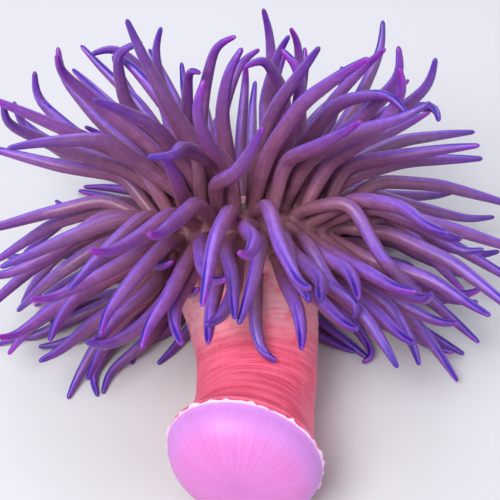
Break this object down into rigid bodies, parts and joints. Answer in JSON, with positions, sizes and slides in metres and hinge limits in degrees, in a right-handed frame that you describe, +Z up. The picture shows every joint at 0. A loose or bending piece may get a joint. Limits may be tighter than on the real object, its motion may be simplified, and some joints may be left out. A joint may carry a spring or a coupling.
{
  "type": "giant sea anemone",
  "caption": "Still model of a sea anemone lying on its side: a smooth column with a puffed foot disc and a crown of long tapering tentacles.",
  "frame": {"origin": "on the floor, under the middle of the whole animal", "axes": "+Z up, +Y from the foot disc along the body to the crown, +X to the right as seen from the foot"},
  "size_m": [0.3432, 0.3296, 0.2378],
  "materials": {
    "tentacle_skin": "moist smooth flesh, brown-mauve at the base turning violet, with deep violet tips",
    "column_skin": "moist coral-red flesh with fine ring wrinkles",
    "pedal_disc_skin": "moist pink-lilac flesh with fine lines that run to the middle",
    "oral_disc_skin": "moist brown-mauve flesh with fine radial lines"
  },
  "bodies": {
    "root": {"pedal_disc": "pedal_disc_skin", "column_lower": "column_skin", "column_middle": "column_skin", "column_upper": "column_skin", "oral_disc": "oral_disc_skin", "mouth_lips": "oral_disc_skin", "tentacles_margin_01": "tentacle_skin", "tentacles_margin_02": "tentacle_skin", "tentacles_margin_03": "tentacle_skin", "tentacles_margin_04": "tentacle_skin", "tentacles_margin_05": "tentacle_skin", "tentacles_margin_06": "tentacle_skin", "tentacles_margin_07": "tentacle_skin", "tentacles_margin_08": "tentacle_skin", "tentacles_margin_09": "tentacle_skin", "tentacles_margin_10": "tentacle_skin", "tentacles_margin_11": "tentacle_skin", "tentacles_margin_12": "tentacle_skin", "tentacles_margin_13": "tentacle_skin", "tentacles_margin_14": "tentacle_skin", "tentacles_margin_15": "tentacle_skin", "tentacles_margin_16": "tentacle_skin", "tentacles_margin_17": "tentacle_skin", "tentacles_margin_18": "tentacle_skin", "tentacles_margin_19": "tentacle_skin", "tentacles_margin_20": "tentacle_skin", "tentacles_margin_21": "tentacle_skin", "tentacles_margin_22": "tentacle_skin", "tentacles_margin_23": "tentacle_skin", "tentacles_margin_24": "tentacle_skin", "tentacles_margin_25": "tentacle_skin", "tentacles_margin_26": "tentacle_skin", "tentacles_margin_27": "tentacle_skin", "tentacles_margin_28": "tentacle_skin", "tentacles_outer_01": "tentacle_skin", "tentacles_outer_02": "tentacle_skin", "tentacles_outer_03": "tentacle_skin", "tentacles_outer_04": "tentacle_skin", "tentacles_outer_05": "tentacle_skin", "tentacles_outer_06": "tentacle_skin", "tentacles_outer_07": "tentacle_skin", "tentacles_outer_08": "tentacle_skin", "tentacles_outer_09": "tentacle_skin", "tentacles_outer_10": "tentacle_skin", "tentacles_outer_11": "tentacle_skin", "tentacles_outer_12": "tentacle_skin", "tentacles_middle_01": "tentacle_skin", "tentacles_middle_02": "tentacle_skin", "tentacles_middle_03": "tentacle_skin", "tentacles_middle_04": "tentacle_skin", "tentacles_middle_05": "tentacle_skin", "tentacles_middle_06": "tentacle_skin", "tentacles_middle_07": "tentacle_skin", "tentacles_middle_08": "tentacle_skin", "tentacles_middle_09": "tentacle_skin", "tentacles_inner_01": "tentacle_skin", "tentacles_inner_02": "tentacle_skin", "tentacles_inner_03": "tentacle_skin", "tentacles_inner_04": "tentacle_skin", "tentacles_inner_05": "tentacle_skin"}
  },
  "joints": []
}
